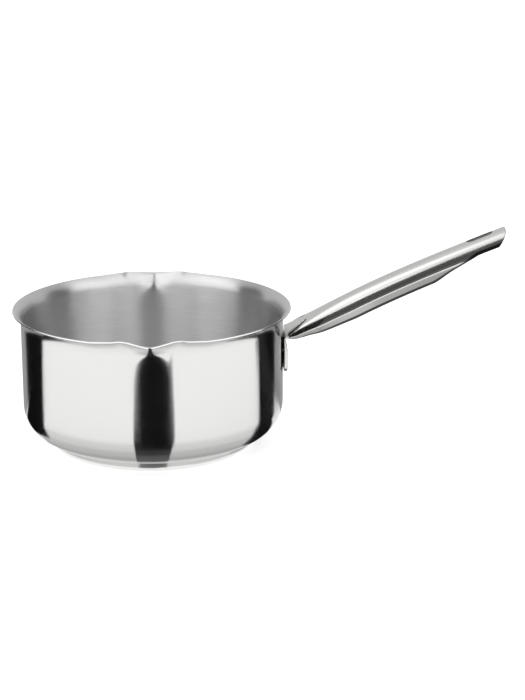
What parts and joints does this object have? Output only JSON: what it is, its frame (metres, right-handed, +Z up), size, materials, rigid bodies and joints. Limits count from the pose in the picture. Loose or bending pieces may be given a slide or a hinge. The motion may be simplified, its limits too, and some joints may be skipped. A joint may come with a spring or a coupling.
{
  "type": "milk pan",
  "caption": "Small steel milk pan with straight walls, a flared pouring rim with opposed spouts, a sandwich base and a long rolled-sheet handle with a hanging slot.",
  "frame": {"origin": "centre of the flat underside of the base", "axes": "+Z up along the pan's axis, +X from the axis towards the handle, spouts on -Y and +Y"},
  "size_m": [0.303, 0.1782, 0.1337],
  "materials": {
    "body_steel": "fine circumferential satin",
    "core_aluminium": "as rolled",
    "cap_steel": "polished",
    "handle_steel": "lengthwise satin polish",
    "weld_steel": "as welded"
  },
  "bodies": {
    "root": {"pan_body": "body_steel", "base_core": "core_aluminium", "base_cap": "cap_steel", "handle": "handle_steel", "spot_welds": "weld_steel"}
  },
  "joints": []
}
